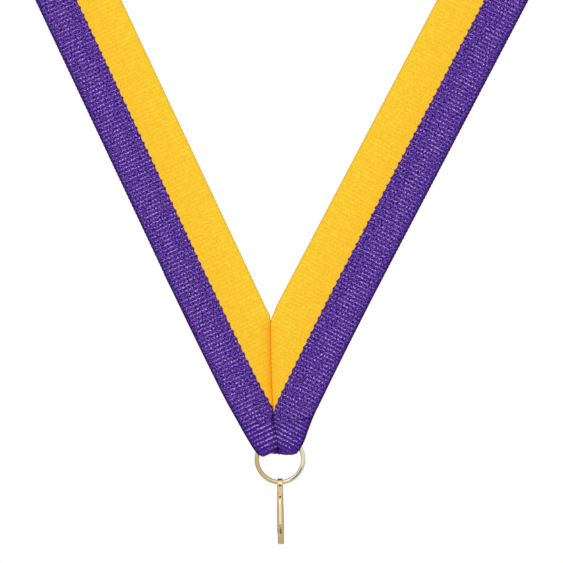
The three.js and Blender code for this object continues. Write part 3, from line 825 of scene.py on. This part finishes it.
def gate_line():
    """Side view of the spring leaf: flat on the front leg, a soft bend below the rivet, then
    straight down to the tip behind the nose. Returns y and z for each share of its length."""
    root_y = leg_front - CLIP_CLEARANCE - GATE_STRIP / 2
    tip_y = -(HOOK_RADIUS - CLIP_STRIP / 2) + CLIP_CLEARANCE + GATE_STRIP / 2
    bend_z = -RIVET_DROP - GATE_BEND
    bend_top = bend_z + GATE_BEND_REACH
    tip_z = -HOOK_HEIGHT - NOSE_DROP - GATE_OVERLAP
    z = np.concatenate([np.linspace(GATE_ROOT_ABOVE - RIVET_DROP, bend_top, 14)[:-1],
                        np.linspace(bend_top, tip_z, 70)])
    slope = (tip_y - root_y) / (tip_z - bend_z)
    past = bend_z - z
    in_bend = np.maximum(past + GATE_BEND_REACH, 0) ** 2 / (4 * GATE_BEND_REACH)
    return root_y - slope * np.where(past > GATE_BEND_REACH, past, in_bend), z


def half_round_ended(half, from_end):
    """Half width, at a distance from its end, of a strip that ends in a half circle."""
    short = half - np.clip(from_end, 0, half)
    return np.sqrt(half**2 - short**2)


def make_gate(metal):
    """The spring leaf as one domed plate: its outline has a round lower end and a long slot, and
    each face is a grid of two halves, left and right of the slot, that meet above and below it."""
    y, z = gate_line()
    half = GATE_WIDTH / 2
    above_tip = z - z[-1]
    outer = np.maximum(half_round_ended(half, above_tip), GATE_LEAST_TIP * half)[:, None]
    from_slot_end = SLOT_LENGTH / 2 - np.abs(above_tip - SLOT_RISE - SLOT_LENGTH / 2)
    inner = half_round_ended(SLOT_WIDTH / 2, from_slot_end)[:, None]
    across = inner + (outer - inner) * np.linspace(0, 1, GATE_COLUMNS)
    domed = rise(-z, *GATE_CROWN_TOP) * rise(above_tip, *GATE_CROWN_FOOT)
    crown = GATE_CROWN * (1 - (across / half) ** 2) * domed[:, None]
    face_y = y[:, None] - GATE_STRIP / 2
    halves = []
    for mirror in (-1, 1):
        x = mirror * across
        front = np.stack([x, face_y - crown, np.broadcast_to(z[:, None], x.shape)], axis=-1)
        halves.append(eye_centre + out_and_back(front, front + np.array([0, GATE_STRIP, 0])))
    return join_halves("clip_gate_leaf", *halves, metal)


def join_halves(name, left, right, metal):
    """Two mirrored tubes of sections joined into one closed piece: where both meet on the middle
    line their shared walls are left out, and the doubled points there are merged."""
    points = np.vstack([left.reshape(-1, 3), right.reshape(-1, 3)])
    faces = flat_tube_faces(*left.shape[:2])
    faces = np.vstack([faces, faces[:, ::-1] + len(points) // 2])
    from_middle = np.abs(points[:, 0] - eye_centre[0])
    faces = faces[from_middle[faces].max(axis=1) >= MERGED_WITHIN]
    rounded = np.round(points / MERGED_WITHIN).astype(np.int64)
    _, first, merged = np.unique(rounded, axis=0, return_index=True, return_inverse=True)
    faces = merged.reshape(-1)[faces]
    # Painted shade along the leaf's edges.
    rim = LEAF_RIM_SHADE * rise(from_middle[first] / (GATE_WIDTH / 2), *LEAF_RIM)
    return make_piece(name, hang_askew(points[first]), faces, metal, "clip_metal", marks=[("dull", rim)])


def make_rivet(metal):
    """A rivet with a blind bore: its profile turned about its axis, from the floor of the bore
    over the front head, through the leaf and the leg, to the middle of the head inside. Painted shade
    darkens the bore, and its rim about half as much."""
    face = leg_front - CLIP_CLEARANCE - GATE_STRIP
    back = leg_front + CLIP_STRIP
    head, shank, bore = RIVET_HEAD / 2, RIVET_SHANK / 2, RIVET_BORE / 2
    dome = np.linspace(0, math.pi / 2, 6)[:, None]
    front_dome = np.hstack([bore + (head - bore) * np.sin(dome),
                            face - RIVET_HEAD_THICKNESS * np.cos(dome)])
    back_dome = np.hstack([head * np.cos(dome), back + RIVET_HEAD_THICKNESS * np.sin(dome)])[:-1]
    floor = face - RIVET_BORE_FLOOR
    profile = np.vstack([(bore * 0.5, floor), (bore * 0.95, floor), front_dome, (shank, face),
                         (shank, back), back_dome, (head * 0.1, back + RIVET_HEAD_THICKNESS)])
    points = eye_centre + np.stack([
        profile[:, :1] * np.cos(section_turn),
        np.broadcast_to(profile[:, 1:], (len(profile), SECTION_SIDES)),
        profile[:, :1] * np.sin(section_turn) - RIVET_DROP,
    ], axis=-1)
    # Painted shade in the bore, and about half as much on its rim.
    dull = np.zeros(points.shape[:2])
    dull[:3] = ((1.0,), (1.0,), (0.55,))
    return make_tube("hollow_rivet", hang_askew(points), metal, "clip_metal", marks=[("dull", dull)],
                     sharp_from=50)


# Materials


class Recipe:
    """Short ways to add nodes to a material, or to the room, and join them."""

    def __init__(self, owner):
        owner.use_nodes = True
        self.owner = owner
        self.nodes = owner.node_tree.nodes
        self.links = owner.node_tree.links

    def feed(self, socket, value):
        """A value goes into a socket, by a link if it comes out of a node."""
        if isinstance(value, bpy.types.NodeSocket):
            self.links.new(value, socket)
        else:
            socket.default_value = value

    def set(self, node, **inputs):
        for label, value in inputs.items():
            self.feed(node.inputs[label.replace("_", " ")], value)

    def finish(self, **inputs):
        """The material itself, with the last values fed into its shader."""
        self.set(self.nodes["Principled BSDF"], **inputs)
        return self.owner

    def add(self, kind, **settings):
        node = self.nodes.new(kind)
        for label, value in settings.items():
            setattr(node, label, value)
        return node

    def math(self, operation, *values):
        node = self.add("ShaderNodeMath", operation=operation)
        for socket, value in zip(node.inputs, values):
            self.feed(socket, value)
        return node.outputs[0]

    def times(self, product, *others):
        for value in others:
            product = self.math("MULTIPLY", product, value)
        return product

    def blend(self, share, first, second):
        """From the first colour to the second as the share goes to 1."""
        node = self.add("ShaderNodeMix", data_type="RGBA")
        for place, value in ((0, share), (6, first), (7, second)):
            self.feed(node.inputs[place], value)
        return node.outputs[2]

    def tint(self, base, *layers):
        """A colour with others laid over it in turn, which are (how strongly, screen colour)."""
        for share, shade in layers:
            base = self.blend(share, base, colour(*shade))
        return base

    def mark(self, label):
        """A number that the points of the mesh carry."""
        return self.add("ShaderNodeAttribute", attribute_name=label).outputs["Fac"]

    def curve(self, value, stops):
        """A value read off a line through stops, which are (place, height) with places 0 to 1."""
        ramp = self.add("ShaderNodeValToRGB")
        self.links.new(value, ramp.inputs[0])
        elements = ramp.color_ramp.elements
        while len(elements) < len(stops):
            elements.new(0.5)
        for element, (place, height) in zip(elements, stops):
            element.position = place
            element.color = (height, height, height, 1)
        return ramp.outputs[0]

    def noise(self, vector, scale, detail):
        node = self.add("ShaderNodeTexNoise")
        self.set(node, Vector=vector, Scale=scale, Detail=detail)
        return node.outputs[0]

    def wave(self, value):
        """Cosine of a value counted in whole turns, from 0 to 1."""
        return self.math("MULTIPLY_ADD", self.math("COSINE", self.times(value, FULL_TURN)), 0.5, 0.5)

    def bump(self, height, strength, distance):
        node = self.add("ShaderNodeBump")
        self.set(node, Height=height, Strength=strength, Distance=distance)
        return node.outputs[0]


def colour(red, green, blue):
    """A colour given as it looks on a screen, 0 to 255, in the light values that shaders take."""
    shares = np.array([red, green, blue]) / 255
    light = np.where(shares <= 0.04045, shares / 12.92, ((shares + 0.055) / 1.055) ** 2.4)
    return (*light.tolist(), 1.0)


def make_cloth():
    """Two-tone grosgrain. Across the cloth in millimetres is the map's first number, and along it
    the second. Ribs are a cosine along the cloth, and yarns one across it that moves half a yarn
    from rib to rib. The rib crests are painted lighter than the troughs, and painted highlights dot
    the crests over the yarns. The colours meet in a zigzag two ribs long, with dark notches. Where
    the cloth is marked as strained, the ribs part, painted shade fills their troughs and the painted
    highlights on their crests become whole pale lines. Painted shade darkens the marked hollows,
    orange in the gold, and the crease."""
    pitch = RIB_PITCH / MM
    yarn_pair = 0.92
    boundary = 10.72
    cloth = Recipe(bpy.data.materials.new("two-tone grosgrain"))
    curve, times, calc = cloth.curve, cloth.times, cloth.math
    place = cloth.add("ShaderNodeUVMap", uv_map="weave").outputs[0]
    marked = cloth.mark("strain")
    strain = calc("MINIMUM", marked, 1.0)
    rounded = calc("MAXIMUM", calc("SUBTRACT", marked, 1.0), 0.0)
    hollow = cloth.mark("hollow")
    split = cloth.add("ShaderNodeSeparateXYZ")
    cloth.set(split, Vector=place)
    across, along = split.outputs[0], split.outputs[1]
    ribs = calc("DIVIDE", along, pitch)
    wander = times(cloth.noise(place, 0.7, 1.0), 0.3)
    crest = cloth.wave(calc("ADD", ribs, calc("SUBTRACT", wander, 0.15)))
    whole = calc("FLOOR", calc("ADD", ribs, 0.5))
    odd = calc("MODULO", calc("ABSOLUTE", whole), 2.0)
    yarns = calc("MULTIPLY_ADD", odd, 0.5, calc("DIVIDE", across, yarn_pair))
    pair = cloth.wave(yarns)
    single = cloth.wave(times(yarns, 2.0))
    yarn = calc("MULTIPLY_ADD", single, 0.6, times(pair, 0.55))
    patches = cloth.noise(place, 0.5, 2.0)
    grain = cloth.noise(place, 1.7, 0.0)
    drawn_out = cloth.add("ShaderNodeCombineXYZ")
    cloth.set(drawn_out, X=times(across, 0.6), Y=times(along, 1.2))
    fluff = cloth.noise(drawn_out.outputs[0], 3.2, 0.0)
    share = calc("DIVIDE", across, RIBBON_WIDTH / MM)
    band = curve(share, ((0, 0.15), (0.05, 0.35), (0.13, 0.9), (0.26, 1.0), (0.37, 0.35), (0.43, 0.6),
                         (0.475, 0.6)))
    # Painted highlights: pale glints on the rib crests over the yarns, whole lines where the cloth is
    # strained.
    line = calc("POWER", crest, 4.0)
    middle = times(strain, curve(share, ((0.12, 0.0), (0.24, 1.0))))
    yarn = calc("MAXIMUM", calc("POWER", yarn, 1.4), times(middle, 0.55))
    glint_strength = times(band, curve(patches, ((0.36, 0.25), (0.6, 1.0))),
                   curve(fluff, ((0.4, 0.0), (0.57, 1.0))),
                   calc("MULTIPLY_ADD", strain, 0.3, 1.65),
                   calc("MULTIPLY_ADD", rounded, -0.85, 1.0))
    from_crease = calc("ABSOLUTE", cloth.mark("crease"))
    # Purple: crests painted lighter, painted shade between strained ribs, painted highlights on the
    # crests, painted shade in the hollows and along the crease, and darker along the purple edge.
    purple = cloth.tint(
        cloth.blend(crest, colour(65, 31, 127), colour(73, 38, 137)),
        (curve(grain, ((0.5, 0.0), (0.62, 0.7))), (104, 61, 174)),
        (curve(grain, ((0.38, 0.9), (0.5, 0.0))), (24, 1, 72)),
        (curve(fluff, ((0.5, 0.0), (0.6, 0.8))), (117, 73, 190)),
        (curve(fluff, ((0.4, 0.7), (0.5, 0.0))), (28, 1, 80)),
        (times(strain, calc("SUBTRACT", 1.0, crest), 0.8), (30, 6, 82)),
        (times(strain, 0.3), (92, 46, 172)),
        (times(line, yarn, glint_strength), (216, 188, 255)),
        (times(hollow, 0.85), (24, 6, 50)),
        (curve(from_crease, ((0.0, 0.9), (0.45, 0.6), (1.0, 0.0))), (24, 6, 54)),
        (curve(share, ((0.0, 0.95), (0.016, 0.7), (0.045, 0.0))), (32, 14, 74)))
    gold = curve(share, ((0.47, 0.0), (1.0, 1.0)))
    # Gold: crests painted lighter and troughs darker, and orange painted shade in the hollows by the
    # seam.
    gold = cloth.tint(
        cloth.blend(gold, colour(255, 197, 30), colour(255, 214, 42)),
        (times(crest, 0.22), (255, 220, 80)),
        (curve(crest, ((0.0, 0.35), (0.5, 0.0))), (248, 188, 24)),
        (curve(patches, ((0.4, 0.45), (0.6, 0.0))), (252, 190, 26)),
        (curve(grain, ((0.34, 0.4), (0.54, 0.0))), (250, 178, 24)),
        (curve(fluff, ((0.48, 0.0), (0.62, 0.4))), (255, 222, 96)),
        (curve(share, ((0.975, 0.0), (0.995, 0.7))), (222, 168, 40)),
        (hollow, (255, 164, 18)))
    teeth = calc("PINGPONG", calc("ADD", ribs, 0.5), 1.0)
    teeth = calc("MULTIPLY_ADD", teeth, 0.38, boundary - 0.2)
    into_gold = calc("SUBTRACT", across, teeth)
    gold_share = calc("MAXIMUM", calc("MULTIPLY_ADD", into_gold, 9.0, 0.5), 0.0)
    gold_share = calc("MINIMUM", 1.0, gold_share)
    from_notch = calc("ABSOLUTE", calc("ADD", into_gold, 0.12))
    near = calc("SUBTRACT", 1.0, times(from_notch, 3.6))
    notch = times(calc("MAXIMUM", near, 0.0), calc("MULTIPLY_ADD", crest, -0.45, 0.8))
    both = cloth.tint(cloth.blend(gold_share, purple, gold), (notch, (76, 16, 66)))
    height = calc("ADD", times(crest, 0.4), times(yarn, 0.3))
    height = calc("ADD", height, times(fluff, 0.6))
    return cloth.finish(Base_Color=both, Roughness=0.8, Normal=cloth.bump(height, 0.5, 0.05 * MM),
                        Specular_IOR_Level=0.05)


def make_thread_finish():
    """Dyed polyester: fine fibres as noise over a slightly shiny purple."""
    thread = Recipe(bpy.data.materials.new("purple sewing thread"))
    place = thread.add("ShaderNodeTexCoord").outputs["Object"]
    fibres = thread.noise(place, 4000.0, 2.0)
    shade = thread.blend(thread.curve(fibres, ((0.3, 0), (0.7, 1))), colour(58, 40, 108),
                         colour(104, 82, 160))
    return thread.finish(Base_Color=shade, Roughness=0.5, Normal=thread.bump(fibres, 0.4, 0.03 * MM),
                         Sheen_Weight=0.1)


def make_plate(name, bright, warm, roughness):
    """Polished pale gold plate: the colour drifts a little over the metal, and the polish leaves
    very fine waves in the reflections. Marked places get a painted pale reflection, or painted dark
    shade and reflections."""
    plate = Recipe(bpy.data.materials.new(name))
    place = plate.add("ShaderNodeTexCoord").outputs["Object"]
    drift = plate.noise(place, 260.0, 2.0)
    ripple = plate.noise(place, 1500.0, 2.0)
    shade = plate.blend(plate.curve(drift, ((0.35, 0), (0.65, 1))), bright, warm)
    # Painted pale reflection and painted dark shade and reflections, from the marks.
    shade = plate.tint(shade, (plate.mark("pale"), (226, 218, 190)), (plate.mark("dull"), (62, 38, 24)))
    rough = plate.math("MULTIPLY_ADD", ripple, 0.08, roughness - 0.04)
    return plate.finish(Base_Color=shade, Metallic=1.0, Roughness=rough,
                        Normal=plate.bump(ripple, 0.1, 0.05 * MM))


# Room


def make_camera():
    """A long lens that looks along +Y, placed so that one pixel of the picture is PIXEL wide at the
    front of the straps and the ring's middle falls on its own pixel."""
    camera = bpy.data.cameras.new("long lens")
    camera.sensor_width = SENSOR_WIDTH
    camera.lens = SENSOR_WIDTH * CAMERA_DISTANCE / (PICTURE_PIXELS * PIXEL)
    camera.clip_end = 20 * CAMERA_DISTANCE
    holder = new_object("camera", camera)
    middle = PICTURE_PIXELS / 2
    holder.location = (ring_centre[0] + (middle - RING_PIXEL[0]) * PIXEL,
                       ring_centre[1] - CAMERA_DISTANCE,
                       ring_centre[2] + (RING_PIXEL[1] - middle) * PIXEL)
    holder.rotation_euler = (math.pi / 2, 0, 0)
    bpy.context.scene.camera = holder


def make_floor():
    """A pale level floor some way below the ribbon, one square."""
    half = FLOOR_SIZE / 2
    height = cad_low[2] - FLOOR_DROP
    mesh = bpy.data.meshes.new("floor")
    mesh.from_pydata([(-half, -half, height), (half, -half, height), (half, half, height),
                      (-half, half, height)], [], [(0, 1, 2, 3)])
    pale = Recipe(bpy.data.materials.new("pale floor"))
    mesh.materials.append(pale.finish(Base_Color=FLOOR_COLOUR, Roughness=0.9))
    floor = new_object("floor", mesh)


def make_world():
    """White behind the object and in its reflections, and an even plain light from all sides."""
    room = Recipe(bpy.data.worlds.new("white room"))
    light = room.nodes["Background"]
    room.set(light, Color=WHITE, Strength=ROOM_LIGHT)
    white = room.add("ShaderNodeBackground")
    room.set(white, Color=WHITE)
    rays = room.add("ShaderNodeLightPath").outputs
    seen = room.math("MAXIMUM", rays["Is Camera Ray"], rays["Is Glossy Ray"])
    seen = room.math("MAXIMUM", seen, rays["Is Transmission Ray"])
    mix = room.add("ShaderNodeMixShader")
    for socket, value in zip(mix.inputs, (seen, light.outputs[0], white.outputs[0])):
        room.feed(socket, value)
    room.set(room.nodes["World Output"], Surface=mix.outputs[0])
    bpy.context.scene.world = room.owner


def make_softboxes():
    """Square soft lights that face the V. Brightness counts white paper in full light as 1."""
    target = np.array([ring_centre[0], front_y, ring_centre[2] + LIT_ABOVE_RING])
    for name, place, size, brightness in SOFTBOXES:
        lamp = bpy.data.lights.new(name, "AREA")
        lamp.size = size
        lamp.energy = brightness * math.pi * size**2
        holder = new_object(name, lamp)
        holder.location = place
        holder.rotation_euler = Vector(target - place).to_track_quat("-Z", "Y").to_euler()


make_camera()
make_floor()
make_world()
make_softboxes()

cloth = make_cloth()
thread = make_thread_finish()
ring_plate = make_plate("ring plate", colour(208, 184, 138), colour(200, 172, 124), 0.26)
clip_plate = make_plate("clip plate", colour(220, 194, 150), colour(212, 184, 140), 0.11)

ribbon, cut_length = make_ribbon(cloth)
seam_stitches = make_seam_thread(thread)
tack_stitches = make_tack_thread(thread)
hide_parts("ribbon", "ring_sleeve")
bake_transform(ribbon)
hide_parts("seam_thread")
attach(seam_stitches, "ribbon")
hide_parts("tack_thread")
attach(tack_stitches, "ribbon")

ring = make_ring(ring_plate)
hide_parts("ring")
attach(ring, "ring")

hook = make_clip_body(clip_plate)
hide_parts("clip_body")
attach(hook, "clip")

leaf = make_gate(clip_plate)
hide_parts("gate_root", "clip_gate")
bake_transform(leaf)

rivet = make_rivet(clip_plate)
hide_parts("gate_rivet")
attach(rivet, "clip")

bpy.context.scene.view_settings.view_transform = "Standard"
